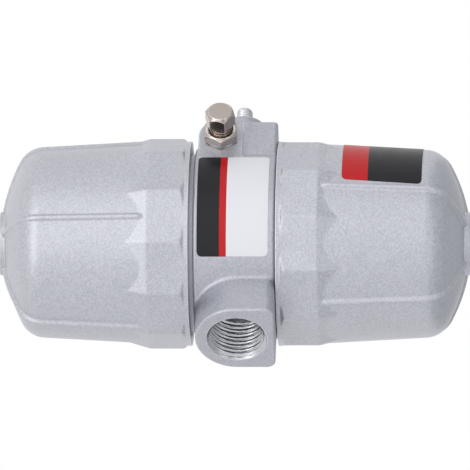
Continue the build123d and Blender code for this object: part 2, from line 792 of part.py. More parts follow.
def lever_bracket():
    ear_outer = ear_inner() + bracket_thickness
    front = -tube_socket_radius - bracket_socket_room
    plate = Pos((bracket_back_x + front) / 2, 0, web_base_z - bracket_thickness / 2) * Box(
        front - bracket_back_x, 2 * ear_outer, bracket_thickness)
    foot = pivot_z() - bracket_ear_below_pin
    bracket = plate
    for side in (-1, 1):
        middle = side * (ear_inner() + bracket_thickness / 2)
        ear = Pos(pivot_x, middle, (foot + web_base_z) / 2) * Box(
            2 * bracket_ear_half_length, bracket_thickness, web_base_z - foot)
        ends = [e for e in ear.edges().filter_by(Axis.Y) if e.center().Z < foot + 1e-3]
        bracket += fillet(ends, bracket_ear_rounding)
        bracket -= Pos(bracket_screw_x, side * bracket_screw_y) * disc(
            bracket_screw_radius, web_base_z - 2 * bracket_thickness, web_base_z)
    bracket -= Pos(pivot_x, 0, pivot_z()) * Rot(90, 0, 0) * Cylinder(pin_radius, 4 * ear_outer)
    return bracket - Pos(pilot_x, 0) * disc(nozzle_shank_radius, web_base_z - 2 * bracket_thickness,
                                            web_base_z)


def lever_pin():
    ear_outer = ear_inner() + bracket_thickness
    pin = Cylinder(pin_radius, 2 * ear_outer)
    head = Cylinder(pin_radius + pin_head_rise, pin_head_width)
    for side in (-1, 1):
        pin += Pos(0, 0, side * (ear_outer + pin_head_width / 2)) * head
    return Pos(pivot_x, 0, pivot_z()) * Rot(90, 0, 0) * pin


def bracket_screws():
    screws = []
    seat = web_base_z - bracket_thickness
    for side in (-1, 1):
        screw = disc(bracket_screw_radius, seat, web_base_z + bracket_screw_length)
        head = disc(bracket_screw_head_radius, seat - bracket_screw_head_height, seat)
        head = fillet(head.edges().sort_by(Axis.Z)[0], bracket_screw_head_edge)
        screws.append(Pos(bracket_screw_x, side * bracket_screw_y) * (screw + head))
    return Compound(children=screws)


# --- manual drain ---------------------------------------------------------------------------------------
def along_x(shape, x, turn=0.0):
    """Stands a shape built along +Z on the drain axis, its base at x."""
    return Pos(x, drain_y, drain_z) * Rot(0, 90, 0) * Rot(0, 0, turn) * shape


def bonnet_face_x():
    return pad_face_x + washer_thickness


def bonnet_washer():
    washer = ring(bonnet_flats / 2 - washer_inset, bonnet_thread_radius, 0, washer_thickness)
    return along_x(washer, pad_face_x)


def drain_bonnet():
    end = pad_face_x - bonnet_thread_length
    hexagon = along_x(hex_prism(bonnet_flats, bonnet_height), bonnet_face_x(), bonnet_turn)
    bonnet = hexagon + rod_x(bonnet_thread_radius, end, bonnet_face_x(), drain_y, drain_z)
    floor = end + bonnet_floor_length
    top = bonnet_face_x() + bonnet_height
    stem_bore = screw_stem_radius + seal_squeeze_gap + running_fit
    bonnet -= rod_x(screw_neck_radius + running_fit, floor, top + 1, drain_y, drain_z)
    return bonnet - rod_x(stem_bore, end - 1, floor + 1, drain_y, drain_z)


def head_base_x():
    return bonnet_face_x() + bonnet_height + screw_neck_visible


def screw_seal_x():
    return pad_face_x - bonnet_thread_length + screw_seal_from_end


def drain_screw():
    """Hexagon-headed screw, threaded neck, plain stem and needle point."""
    neck_end = pad_face_x - bonnet_thread_length + bonnet_floor_length + screw_floor_gap
    head = hex_prism(screw_head_flats, screw_head_height)
    screw = along_x(head, head_base_x(), screw_head_turn)
    screw += rod_x(screw_neck_radius, neck_end, head_base_x(), drain_y, drain_z)
    cone_end = screw_tip_x + seat_gap
    screw += rod_x(screw_stem_radius, cone_end + screw_cone_length, neck_end, drain_y, drain_z)
    point = Cone(screw_tip_radius, screw_stem_radius, screw_cone_length,
                 align=(Align.CENTER, Align.CENTER, Align.MIN))
    screw += along_x(point, cone_end)
    depth = screw_stem_radius - screw_seal_section
    half = screw_seal_section / 2 + groove_side_room / 2
    groove = ring(screw_stem_radius + 1, depth, -half, half)
    return screw - along_x(groove, screw_seal_x())


def screw_seal():
    ring_radius = screw_stem_radius - screw_seal_section / 2 + seal_squeeze_gap
    return along_x(o_ring(ring_radius, screw_seal_section), screw_seal_x())


# --- outlet nipple -----------------------------------------------------------------------------------------
def outlet_nipple():
    """Plain hose nipple, tapped into the boss, with a coned nose."""
    face = outlet_boss_face_y
    root = face - nipple_shank_length
    tip = face + nipple_length
    outline = Polyline((nipple_bore_radius, root), (nipple_shank_radius, root), (nipple_shank_radius, face),
                       (nipple_radius, face), (nipple_radius, tip - nipple_nose_length),
                       (nipple_tip_radius, tip), (nipple_bore_radius, tip), close=True)
    return Pos(0, 0, outlet_z) * revolve(make_face(outline), Axis.Y)


# --- label plates --------------------------------------------------------------------------------------
def label_window(radius, angles, low, high):
    """Rounded rectangle seen square on from outside, as a bar through a plate of this radius."""
    middle = (angles[0] + angles[1]) / 2
    half = math.radians((angles[1] - angles[0]) / 2)
    sheet = RectangleRounded(2 * radius * math.sin(half), high - low, label_corner)
    bar = extrude(Plane.YZ * sheet, 2 * radius)
    return Pos(0, 0, (low + high) / 2) * Rot(0, 0, middle) * bar


def body_label():
    low = body_base_z + body_label_margin_low
    high = body_top_z - body_label_margin_high
    plate = ring(body_radius + label_thickness, body_radius, low, high)
    return plate & label_window(body_radius, body_label_angles, low, high)


def bowl_label():
    near = lower_mouth_z - bowl_label_near
    far = lower_mouth_z - bowl_label_far
    profile = Polyline((barrel_radius(bowl_label_near), near),
                       (barrel_radius(bowl_label_near, label_thickness), near),
                       (barrel_radius(bowl_label_far, label_thickness), far),
                       (barrel_radius(bowl_label_far), far), close=True)
    plate = revolve(Plane.XZ * make_face(profile), Axis.Z)
    return plate & label_window(barrel_radius(bowl_label_near), bowl_label_angles, far, near)


def parts():
    bowl = bowl_casting()
    return {
        "valve_body": valve_body(),
        "upper_bowl": placed_upper() * bowl,
        "lower_bowl": placed_lower() * bowl,
        "upper_bowl_seal": bowl_seal(upper_mouth_z, 1),
        "lower_bowl_seal": bowl_seal(lower_mouth_z, -1),
        "valve_seat": valve_seat(),
        "valve_disc": valve_disc(),
        "piston_rod": piston_rod(),
        "rod_nut": rod_nut(),
        "rod_bush": rod_bush(),
        "rod_seal": rod_seal(),
        "cylinder_sleeve": cylinder_sleeve(),
        "cylinder_cover": cylinder_cover(),
        "snap_ring": snap_ring(),
        "piston": piston(),
        "piston_seal": piston_seal(),
        "return_spring": return_spring(),
        "dip_tube": dip_tube(),
        "strainer": strainer(),
        "float": float_body(),
        "float_clip": float_clip(),
        "pilot_nozzle": pilot_nozzle(),
        "pilot_lever": pilot_lever(),
        "pilot_pad": pilot_pad(),
        "lever_bracket": lever_bracket(),
        "lever_pin": lever_pin(),
        "bracket_screws": bracket_screws(),
        "drain_bonnet": drain_bonnet(),
        "bonnet_washer": bonnet_washer(),
        "drain_screw": drain_screw(),
        "screw_seal": screw_seal(),
        "outlet_nipple": outlet_nipple(),
        "body_label": body_label(),
        "bowl_label": bowl_label(),
    }


os.makedirs("parts", exist_ok=True)
for name, shape in parts().items():
    export_step(shape, f"parts/{name}.step")
    print(name, round(shape.volume, 1))
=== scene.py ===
# %% [markdown]
# # Automatic drain valve
# A drain valve for compressed-air lines: two cast aluminium bowls screwed onto the
# two sides of a die-cast centre body. The engineering model gives every piece its
# size and place. This notebook dresses it: soft cast edges, turned and threaded
# metal, paint, rubber and label film.

# %% Load the frame
import bpy
import json
import math
import numpy as np
from mathutils import Matrix, Vector


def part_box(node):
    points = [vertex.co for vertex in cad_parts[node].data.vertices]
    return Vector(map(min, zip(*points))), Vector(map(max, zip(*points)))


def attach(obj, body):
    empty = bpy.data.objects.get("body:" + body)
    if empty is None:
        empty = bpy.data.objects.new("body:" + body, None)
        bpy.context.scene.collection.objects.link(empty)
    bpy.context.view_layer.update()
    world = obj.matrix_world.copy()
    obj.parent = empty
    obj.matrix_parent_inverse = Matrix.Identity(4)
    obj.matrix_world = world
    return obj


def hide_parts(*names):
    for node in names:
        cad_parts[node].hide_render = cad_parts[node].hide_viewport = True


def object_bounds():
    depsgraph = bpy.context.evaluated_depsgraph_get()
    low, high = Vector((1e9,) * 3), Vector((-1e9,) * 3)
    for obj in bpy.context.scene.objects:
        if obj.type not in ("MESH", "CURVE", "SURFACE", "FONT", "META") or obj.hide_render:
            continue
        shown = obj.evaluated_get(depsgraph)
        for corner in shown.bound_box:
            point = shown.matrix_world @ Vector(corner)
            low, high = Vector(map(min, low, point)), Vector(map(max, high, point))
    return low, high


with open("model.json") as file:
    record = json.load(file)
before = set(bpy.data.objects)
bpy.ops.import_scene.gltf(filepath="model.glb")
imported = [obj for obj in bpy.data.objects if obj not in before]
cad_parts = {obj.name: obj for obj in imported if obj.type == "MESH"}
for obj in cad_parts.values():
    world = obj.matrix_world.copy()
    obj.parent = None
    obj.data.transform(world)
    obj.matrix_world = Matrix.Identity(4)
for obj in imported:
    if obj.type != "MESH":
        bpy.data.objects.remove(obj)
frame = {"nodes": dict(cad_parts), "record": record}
nodes = frame["nodes"]
cad_low, cad_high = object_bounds()
MM = 0.001
print("parts in the frame:", len(nodes), "height in mm:", round((cad_high[2] - cad_low[2]) / MM, 1))

# %% [markdown]
# ## Where the camera stands
# The valve hangs upright, but a catalogue shows it lying on its side. So the camera
# is turned a quarter turn about its own axis: the upper bowl points to the left of
# the picture. It looks at the valve from between the inlet and the drain screw,
# through a very long lens from far off, which keeps parallel edges parallel.

# %% Camera
CAMERA_AZIMUTH = math.radians(46.5)     # from the inlet side towards the drain screw
CAMERA_BELOW = math.radians(2.5)        # a touch from the lower bowl's side
CAMERA_DISTANCE = 7.0                   # in metres
PICTURE_WIDTH = 163.6 * MM              # what the frame spans at the valve's axis
SENSOR = 36.0
AIM_ABOVE_MIDDLE = 0.2 * MM             # along the valve's own axis
AIM_UP = 3.05 * MM                      # up in the picture, to leave room for the fittings

outward = Vector((math.sin(CAMERA_AZIMUTH), -math.cos(CAMERA_AZIMUTH), 0))
to_camera = outward * math.cos(CAMERA_BELOW) - Vector((0, 0, 1)) * math.sin(CAMERA_BELOW)
picture_right = (Vector((0, 0, -1)) - to_camera * math.sin(CAMERA_BELOW)).normalized()
picture_up = to_camera.cross(picture_right)
middle_z = (cad_low[2] + cad_high[2]) / 2
look_at = Vector((0, 0, middle_z + AIM_ABOVE_MIDDLE)) + picture_up * AIM_UP

camera_data = bpy.data.cameras.new("catalogue_camera")
camera_data.sensor_width = SENSOR
camera_data.lens = SENSOR * CAMERA_DISTANCE / PICTURE_WIDTH
camera_data.clip_start = 0.05
camera_data.clip_end = 50
camera = bpy.data.objects.new("catalogue_camera", camera_data)
turn = Matrix((picture_right, picture_up, to_camera)).transposed().to_4x4()
camera.matrix_world = Matrix.Translation(look_at + to_camera * CAMERA_DISTANCE) @ turn
bpy.context.scene.collection.objects.link(camera)
bpy.context.scene.camera = camera
bpy.context.scene.view_settings.view_transform = "Standard"
print("lens in mm:", round(camera_data.lens, 1))

# %% [markdown]
# ## Small tools for materials
# Colours are written as they look on a screen, in hex, and one function turns them
# into the linear values that a shader works with. Another adds a node to a
# material, sets its values and wires it up. The rest are the few steps that nearly
# every surface here repeats.

# %% Colour and node helpers
def linear(code, factor=1.0):
    """A hex colour such as "B9BBC4" as linear RGBA, made darker or lighter by a factor."""
    parts = [int(code[start:start + 2], 16) / 255 for start in (0, 2, 4)]
    light = [c / 12.92 if c <= 0.04045 else ((c + 0.055) / 1.055) ** 2.4 for c in parts]
    return tuple(min(c * factor, 1.0) for c in light) + (1.0,)


def per_mm(size_mm):
    """Texture scale that gives a pattern of this size, for coordinates in metres."""
    return 1 / (size_mm * MM)


def add_node(tree, kind, inputs=None, **settings):
    """Adds a node; an input takes a value or another node's output."""
    node = tree.nodes.new(kind)
    for name, value in settings.items():
        setattr(node, name, value)
    for name, value in (inputs or {}).items():
        if isinstance(value, bpy.types.NodeSocket):
            tree.links.new(value, node.inputs[name])
        else:
            node.inputs[name].default_value = value
    return node


def start_material(name, **values):
    """A material with one Principled shader; values go on its own sockets."""
    material = bpy.data.materials.new(name)
    material.use_nodes = True
    tree = material.node_tree
    tree.nodes.clear()
    shader = add_node(tree, "ShaderNodeBsdfPrincipled",
                      {key.replace("_", " "): value for key, value in values.items()})
    output = add_node(tree, "ShaderNodeOutputMaterial")
    tree.links.new(shader.outputs["BSDF"], output.inputs["Surface"])
    return material, tree, shader


# %% The steps that surfaces share
def object_place(tree):
    """Coordinates fixed to the piece, in metres, so a pattern moves with it."""
    return add_node(tree, "ShaderNodeTexCoord").outputs["Object"]


def noise(tree, place, size_mm, detail, roughness=0.5):
    """A cloudy pattern of this size, from 0 to 1."""
    return add_node(tree, "ShaderNodeTexNoise", {"Vector": place, "Scale": per_mm(size_mm),
                                                 "Detail": detail, "Roughness": roughness}).outputs[0]


def calculate(tree, operation, *values):
    """A Math node on up to three values."""
    return add_node(tree, "ShaderNodeMath", dict(enumerate(values)), operation=operation).outputs[0]


def mix_colours(tree, factor, first, second):
    """Blends two colours: a Mix node takes them on sockets 6 and 7 and gives one on 2."""
    return add_node(tree, "ShaderNodeMix", {"Factor": factor, 6: first, 7: second},
                    data_type="RGBA").outputs[2]


def add_relief(tree, shader, pattern, height_mm, **normal):
    """Bumps as high as this where the pattern is 1."""
    bump = add_node(tree, "ShaderNodeBump",
                    {"Strength": 1.0, "Distance": height_mm * MM, "Height": pattern, **normal})
    tree.links.new(bump.outputs[0], shader.inputs["Normal"])


def find_edges(tree, radius_mm, flat, sharp, most=1.0):
    """An edge is where a rounded normal leaves the true one.

    Gives 0 while the two agree better than flat, the most where they agree less than
    sharp, and the rounded normal itself."""
    # the mask says where painted highlights go on the edges
    rounded = add_node(tree, "ShaderNodeBevel", {"Radius": radius_mm * MM}, samples=6).outputs[0]
    true_normal = add_node(tree, "ShaderNodeNewGeometry").outputs["Normal"]
    agreement = add_node(tree, "ShaderNodeVectorMath", {0: true_normal, 1: rounded},
                         operation="DOT_PRODUCT").outputs["Value"]
    painted_highlight_mask = add_node(tree, "ShaderNodeMapRange",
                       {"Value": agreement, "From Min": flat, "From Max": sharp, "To Max": most})
    return painted_highlight_mask.outputs[0], rounded


print("mid grey in linear light:", round(linear("808080")[0], 3))

# %% [markdown]
# ## Silver powder coat on cast aluminium
# The castings are sprayed with a silver-grey powder and baked. The powder holds
# aluminium flake, so the colour is neutral, half metallic and only a little glossy,
# and it melts into low bumps under a millimetre across. Its edges carry a painted
# highlight, mixed towards white. Real orange peel is finer than it is drawn here: it is
# coarse enough to show in a small picture.

# %% Powder coat
CLOUD_MM = 14              # slow unevenness of the spray
FLAKE_MM = 0.45            # sparkle of the aluminium flake
FLAKE_SHARE = 0.75         # of the tone comes from flake, and the rest from cloud
COAT_DARK, COAT_LIGHT = 0.83, 1.15
COAT_ROUGH, FLAKE_ROUGH = 0.32, 0.14
PAINTED_EDGE_HIGHLIGHT = 0.6            # how near to white the painted highlight on an edge gets


def powder_coat(name, colour, peel_mm, peel_height, edge_mm):
    material, tree, shader = start_material(name, Metallic=0.55, Roughness=0.5)
    place = object_place(tree)
    cells = add_node(tree, "ShaderNodeTexVoronoi", {"Vector": place, "Scale": per_mm(FLAKE_MM)})
    flake = add_node(tree, "ShaderNodeSeparateColor", {"Color": cells.outputs["Color"]}).outputs[0]
    cloud = calculate(tree, "MULTIPLY", noise(tree, place, CLOUD_MM, 3.0), 1 - FLAKE_SHARE)
    tone = calculate(tree, "MULTIPLY_ADD", flake, FLAKE_SHARE, cloud)
    paint = mix_colours(tree, tone, linear(colour, COAT_DARK), linear(colour, COAT_LIGHT))
    # painted highlight: the coat's edges are mixed towards white
    painted_highlight_mask, rounded = find_edges(tree, edge_mm, 0.999, 0.975, PAINTED_EDGE_HIGHLIGHT)
    paint = mix_colours(tree, painted_highlight_mask, paint, linear("FFFFFF"))
    tree.links.new(paint, shader.inputs["Base Color"])
    add_relief(tree, shader, noise(tree, place, peel_mm, 2.0, 0.55), peel_height, Normal=rounded)
    rough = calculate(tree, "MULTIPLY_ADD", flake, FLAKE_ROUGH, COAT_ROUGH)
    tree.links.new(rough, shader.inputs["Roughness"])
    return material


bowl_coat = powder_coat("silver_powder_coat", "BEBFC6", 0.9, 0.10, 0.5)
body_coat = powder_coat("silver_powder_coat_body", "B5B6BE", 0.7, 0.05, 0.5)
print("coats:", bowl_coat.name, body_coat.name)

# %% [markdown]
# ## Turned and plated metals
# A lathe leaves fine rings that run round the axis, so the bump follows the distance
# along that axis. Nickel plate is warmer than chrome and mirrors the room softly.

# %% Bare metals
def turned_metal(name, colour, roughness, ring_mm, ring_height, axis):
    """Metal cut on a lathe whose axis lies along X, Y or Z (0, 1, 2)."""
    material, tree, shader = start_material(name, Metallic=1.0, Roughness=roughness)
    place = object_place(tree)
    along = add_node(tree, "ShaderNodeSeparateXYZ", {"Vector": place}).outputs[axis]
    grooves = calculate(tree, "SINE", calculate(tree, "MULTIPLY", along, 2 * math.pi * per_mm(ring_mm)))
    smudge = noise(tree, place, 3.0, 4.0)
    tint = mix_colours(tree, smudge, linear(colour, 0.85), linear(colour))
    tree.links.new(tint, shader.inputs["Base Color"])
    add_relief(tree, shader, grooves, ring_height)
    return material


def paint_edge_glints(material, colour):
    """Painted glints: the plating's edges are mixed towards a bright colour."""
    tree = material.node_tree
    base = tree.nodes["Principled BSDF"].inputs["Base Color"]
    painted_highlight_mask, _ = find_edges(tree, 0.35, 0.995, 0.95)
    # painted glints: edges are mixed towards the bright colour
    tree.links.new(mix_colours(tree, painted_highlight_mask, base.links[0].from_socket, linear(colour)), base)
    return material


thread_metal = turned_metal("tapped_aluminium", "C6C7CC", 0.24, 0.4, 0.01, 1)
nipple_metal = turned_metal("turned_aluminium", "D6D8DC", 0.26, 0.5, 0.01, 1)
# the nickel and the neck thread get painted glints on their edges
nickel = paint_edge_glints(turned_metal("nickel_plate", "BAB0AA", 0.19, 0.3, 0.0015, 0), "F2EEEA")
# the neck thread is coloured a dark brown
dark_neck_thread = paint_edge_glints(turned_metal("dark_brown_neck_thread", "5C4A40", 0.22, 0.3, 0.004, 0), "D8C8B8")
brass = turned_metal("turned_brass", "C9A867", 0.3, 0.3, 0.006, 2)
steel = turned_metal("stainless_steel", "B4B4B3", 0.3, 0.5, 0.004, 2)
print("metals:", thread_metal.name, nipple_metal.name, nickel.name, dark_neck_thread.name, brass.name, steel.name)

# %% [markdown]
# ## Rubber, acetal and foam
# These are dielectrics, so they keep the default IOR. Rubber is dull and near black,
# acetal is milky and a little waxy, and the float's skinned foam is finely pitted.

# %% Plastics and rubber
def moulded(name, colour, roughness, grain_mm, grain_height):
    """A moulded surface: one grain sets both its faint mottle and its relief."""
    material, tree, shader = start_material(name, Roughness=roughness)
    grain = noise(tree, object_place(tree), grain_mm, 3.0)
    tree.links.new(mix_colours(tree, grain, linear(colour, 0.8), linear(colour)), shader.inputs["Base Color"])
    add_relief(tree, shader, grain, grain_height)
    return material


rubber = moulded("nitrile_rubber", "1B1B1D", 0.55, 0.4, 0.02)
acetal = moulded("acetal", "E6E4DE", 0.4, 1.5, 0.01)
foam = moulded("float_foam", "2A2B2E", 0.6, 0.35, 0.05)
print("moulded:", rubber.name, acetal.name, foam.name)

# %% [markdown]
# ## Label film
# The two labels are printed film with a satin varnish. They carry plain bands of
# colour and nothing else. Each band starts at a height above the valve's foot, so
# the bands follow the label's own edges in the frame.

# %% Label film
INK_BLACK = "121217"
INK_RED = "C01218"
FILM_WHITE = "E7E7EA"
BLACK_BAND = 7.8 * MM
RED_BAND = 2.4 * MM
WARNING_BAND = 9.0 * MM
VARNISH, VARNISH_DUST = 0.28, 0.15      # roughness, and how much dust adds to it


def banded_film(name, bands, last_colour):
    """Film printed in bands across Z: each (z, colour) pair colours what lies above z."""
    material, tree, shader = start_material(name, Specular_IOR_Level=0.3)
    place = object_place(tree)
    height = add_node(tree, "ShaderNodeSeparateXYZ", {"Vector": place}).outputs[2]
    colour = linear(last_colour)
    for edge, code in bands:
        above = calculate(tree, "GREATER_THAN", height, edge)
        colour = mix_colours(tree, above, colour, linear(code))
    tree.links.new(colour, shader.inputs["Base Color"])
    gloss = calculate(tree, "MULTIPLY_ADD", noise(tree, place, 5, 4.0), VARNISH_DUST, VARNISH)
    tree.links.new(gloss, shader.inputs["Roughness"])
    return material


body_label_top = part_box("body_label")[1].z
bowl_label_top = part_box("bowl_label")[1].z
body_film = banded_film("body_label_film", [(body_label_top - BLACK_BAND - RED_BAND, INK_RED),
                                            (body_label_top - BLACK_BAND, INK_BLACK)], FILM_WHITE)
bowl_film = banded_film("bowl_label_film", [(bowl_label_top - WARNING_BAND, INK_RED)], INK_BLACK)
print("films:", body_film.name, bowl_film.name)

# %% [markdown]
# ## A finish for every engineering part
# Each part names what it is made of, and that picks its finish. The parts stay as
# they are in shape, and only their shading is smoothed between the sharp edges.

# %% Dress the engineering parts
FINISHES = {
    "coated_aluminium": body_coat, "bare_aluminium": nipple_metal, "nickel_plated_brass": nickel,
    "turned_brass": brass, "stainless_steel": steel, "nitrile_rubber": rubber, "acetal": acetal,
    "float_foam": foam, "label_film": body_film,
}


def dress(piece, material):
    piece.data.materials.clear()
    piece.data.materials.append(material)


def soften(piece, angle=30):
    """Smooth shading that still breaks at sharp edges."""
    mesh = piece.data
    mesh.polygons.foreach_set("use_smooth", [True] * len(mesh.polygons))
    mesh.set_sharp_from_angle(angle=math.radians(angle))


slot_of = {entry["node"]: entry["material_slot"] for entry in frame["record"]["subparts"]}
for name, piece in nodes.items():
    dress(piece, FINISHES[slot_of[name]])
    soften(piece)
dress(nodes["bowl_label"], bowl_film)
print("dressed:", len(nodes))

# %% [markdown]
# ## A lathe made of rings
# Bowls, hexagons and threads are all nearly round, so one builder makes them: a
# stack of rings, each a full circle of points whose radius and height may change
# with the angle. A flat on a hexagon or a rib on a bowl is then a formula for the
# radius, and soft edges come from blending two formulas instead of bevelling.

# %% Soft blends
def smooth_max(a, b, blend):
    """The larger of two values, with a fillet of about this size where they cross."""
    gap = np.clip(blend - np.abs(a - b), 0, None)
    return np.maximum(a, b) + gap * gap / (4 * blend)


def smooth_min(a, b, blend):
    """The smaller of two values, with its corner eased in the same way."""
    return -smooth_max(-a, -b, blend)


def circle(count):
    """The angles of a ring's points."""
    return np.linspace(0, 2 * math.pi, count, endpoint=False)


def polygon_radius(angle, flats, sides, corner_blend):
    """Radius of a regular polygon with a flat at angle 0, its corners eased."""
    pitch = 2 * math.pi / sides
    local = (angle + pitch / 2) % pitch - pitch / 2
    near = flats / 2 / np.cos(local)
    side = np.where(local >= 0, 1.0, -1.0)
    neighbour = flats / 2 / np.cos(pitch - side * local)
    return smooth_min(near, neighbour, corner_blend)


# %% Ring builder
def ring_at(radius, height, count):
    """One ring of constant radius and height."""
    return np.full(count, float(radius)), np.full(count, float(height))


def plain_rings(profile, count):
    """Round rings through the (radius, height) points of a profile."""
    return [ring_at(radius, height, count) for radius, height in profile]


def lathe(name, rings, place, body, material, tube=False):
    """A skin through rings of (radius, height) arrays in mm.

    Each end closes to a point on the axis. In a tube the last ring joins the first."""
    count = len(rings[0][0])
    angle = circle(count)
    points = np.vstack([np.column_stack((r * np.cos(angle), r * np.sin(angle), z)) for r, z in rings])
    step = np.arange(count)
    ahead = (step + 1) % count
    faces = []
    for row in range(len(rings) - (0 if tube else 1)):
        low, high = row * count, (row + 1) % len(rings) * count
        faces += np.column_stack((low + step, low + ahead, high + ahead, high + step)).tolist()
    if not tube:
        first, last, top = len(points), len(points) + 1, len(points) - count
        points = np.vstack((points, [(0, 0, rings[0][1].mean()), (0, 0, rings[-1][1].mean())]))
        faces += [(first, b, a) for a, b in zip(step.tolist(), ahead.tolist())]
        faces += [(top + a, top + b, last) for a, b in zip(step.tolist(), ahead.tolist())]
    mesh = bpy.data.meshes.new(name)
    mesh.from_pydata((points * MM).tolist(), [], faces)
    mesh.transform(place)
    mesh.validate()
    piece = bpy.data.objects.new(name, mesh)
    bpy.context.scene.collection.objects.link(piece)
    dress(piece, material)
    soften(piece, 35 if tube else 40)
    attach(piece, body)
    return piece


# %% [markdown]
# ## The two bowls
# One casting is used twice. From the mouth it has a twelve-sided collar for a
# wrench, a ramp where the flats run out into a slightly tapered barrel, and a
# shallow dome with a round boss. Five ribs run from the ramp over the shoulder to
# the boss. The rib and the ramp are blended into the barrel as a foundry would
# fillet them, which a plain boolean of solids can't show.

# %% Bowl measures, in mm
BOWL = 67.0                # mouth to end face
COLLAR_SIDES = 12
COLLAR_FLATS = 70.6        # across the flats
COLLAR = 14.6              # mouth to where the flats begin to run out
COLLAR_MOUTH = 33.8        # radius of the mouth face
MOUTH_EDGE = 0.2
RAMP = math.tan(math.radians(16.0))
BARREL = 34.4              # radius where the ramp ends
BARREL_AT = 20.9
DRAFT = math.tan(math.radians(3.2))
DOME = 60.0                # radius of the dome
CROWN = 66.0               # height of the dome's top, under the boss
SHOULDER = 9.0             # radius between barrel and dome
BOSS = 11.0
BOSS_EDGE = 0.5
RIBS = 5
RIB_HEIGHT = 1.0
RIB_FLAT = 0.3             # half width of the rib's crest
RIB_FOOT = 1.35            # half width where it meets the barrel
RIB_START = 14.6           # the rib rises out of the ramp here
RIB_RUN_IN = 3.0           # and has its full height this much further on
THREAD_BORE = 31.2
THREAD_DEPTH = 12.5
THREAD_LEAD = 0.6
WALL = 4.0
FLAT_BLEND, MOUTH_BLEND, RAMP_BLEND, BARREL_BLEND = 0.25, 0.5, 0.4, 0.12   # sizes of the fillets

# %% How finely a bowl is drawn
AROUND = 720
FIRST_RING = 0.12
RING_SPACING = 0.22        # over the collar and the ramp
FINE_UP_TO = 26.0          # where that spacing ends
ROUND_FROM = 30.0          # from here on no flat is left, only barrel and rib
OUTSIDE_STEPS = (30, 22, 26)     # rings on barrel, shoulder and dome
INSIDE_STEPS = (12, 12, 16)


def barrel_at(z):
    """Radius of the tapered barrel at a height."""
    return BARREL - (z - BARREL_AT) * DRAFT


# %% Outline of a bowl
def shoulder_centre(grow):
    """Centre of the shoulder's arc: one radius inside both the barrel line and the dome."""
    slant = math.cos(math.atan(DRAFT))
    radius = SHOULDER + grow
    low, high = 20.0, BOWL
    for _ in range(60):
        z = (low + high) / 2
        r = barrel_at(z) + (grow - radius) / slant
        if math.hypot(r, z - (CROWN - DOME)) < DOME + grow - radius:
            low = z
        else:
            high = z
    return r, z


def meridian(grow, start, steps):
    """Points and outward directions along barrel, shoulder and dome, in the r-z plane."""
    tilt = math.atan(DRAFT)
    radius = SHOULDER + grow
    reach = DOME + grow
    dome_z = CROWN - DOME
    centre_r, centre_z = shoulder_centre(grow)
    arc_end = math.atan2(centre_z - dome_z, centre_r)
    line_top = centre_z + radius * math.sin(tilt)
    on_barrel, on_shoulder, on_dome = steps
    stations = []
    for z in np.concatenate((np.arange(start, FINE_UP_TO, RING_SPACING),
                             np.linspace(FINE_UP_TO, line_top, on_barrel))):
        stations.append((barrel_at(z) + grow / math.cos(tilt), z, math.cos(tilt), math.sin(tilt)))
    for a in np.linspace(tilt, arc_end, on_shoulder)[1:]:
        stations.append((centre_r + radius * math.cos(a), centre_z + radius * math.sin(a),
                         math.cos(a), math.sin(a)))
    # outside the dome stops at the boss, and inside it runs on to the axis
    last = math.acos((BOSS + 0.01) / reach) if grow >= 0 else math.pi / 2
    for a in np.linspace(arc_end, last, on_dome)[1:]:
        stations.append((reach * math.cos(a), dome_z + reach * math.sin(a), math.cos(a), math.sin(a)))
    return stations


# %% Rings of a bowl
def inside_rings():
    """From the cavity's crown down to the ledge and the thread bore."""
    profile = [(max(r, 0.01), z) for r, z, _, _ in reversed(meridian(-WALL, THREAD_DEPTH, INSIDE_STEPS))]
    profile += [(THREAD_BORE, THREAD_DEPTH), (THREAD_BORE, THREAD_LEAD)]
    return plain_rings(profile, AROUND)


def collar_radius(angle, z):
    """The twelve-sided collar: flats that taper along the ramp, eased at the mouth."""
    flats = COLLAR_FLATS - 2 * RAMP * smooth_max(z - COLLAR, 0.0, RAMP_BLEND)
    collar = polygon_radius(angle, flats, COLLAR_SIDES, FLAT_BLEND)
    return smooth_min(collar, np.full(AROUND, COLLAR_MOUTH + z), MOUTH_BLEND)


def rib_lift(rib_angle, r, z):
    """Height of the rib above the casting, falling off to its foot in an S curve."""
    across = np.abs(r * np.sin(rib_angle))
    share = np.clip((RIB_FOOT - across) / (RIB_FOOT - RIB_FLAT), 0, 1)
    run_in = min(max((z - RIB_START) / RIB_RUN_IN, 0.0), 1.0)
    return RIB_HEIGHT * run_in * share * share * (3 - 2 * share)


def outside_rings():
    """From the mouth over the collar, barrel and dome to the edge of the boss."""
    angle = circle(AROUND)
    spacing = 2 * math.pi / RIBS
    rib_angle = (angle + spacing / 2) % spacing - spacing / 2
    rings = plain_rings([(THREAD_BORE + THREAD_LEAD, 0), ((THREAD_BORE + COLLAR_MOUTH) / 2, 0),
                         (COLLAR_MOUTH - MOUTH_EDGE, 0)], AROUND)
    for r, z, out_r, out_z in meridian(0.0, FIRST_RING, OUTSIDE_STEPS):
        lift = rib_lift(rib_angle, r, z)
        if z < ROUND_FROM:
            rings.append((smooth_max(collar_radius(angle, z), r + lift * out_r, BARREL_BLEND),
                          np.full(AROUND, z)))
        else:
            rings.append((r + lift * out_r, z + lift * out_z))
    rings += plain_rings([(BOSS - BOSS_EDGE + BOSS_EDGE * math.cos(turn_in),
                           BOWL - BOSS_EDGE + BOSS_EDGE * math.sin(turn_in))
                          for turn_in in np.linspace(0, math.pi / 2, 5)], AROUND)
    return rings


# %% Place the two bowls
UPPER_TURN = -27.5         # degrees that each bowl stopped at when it was screwed home
LOWER_TURN = 136.5
upper_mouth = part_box("upper_bowl")[0].z
lower_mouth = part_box("lower_bowl")[1].z
upper_place = Matrix.Translation((0, 0, upper_mouth)) @ Matrix.Rotation(math.radians(UPPER_TURN), 4, "Z")
lower_place = (Matrix.Translation((0, 0, lower_mouth)) @ Matrix.Rotation(math.radians(LOWER_TURN), 4, "Z")
               @ Matrix.Rotation(math.pi, 4, "X"))

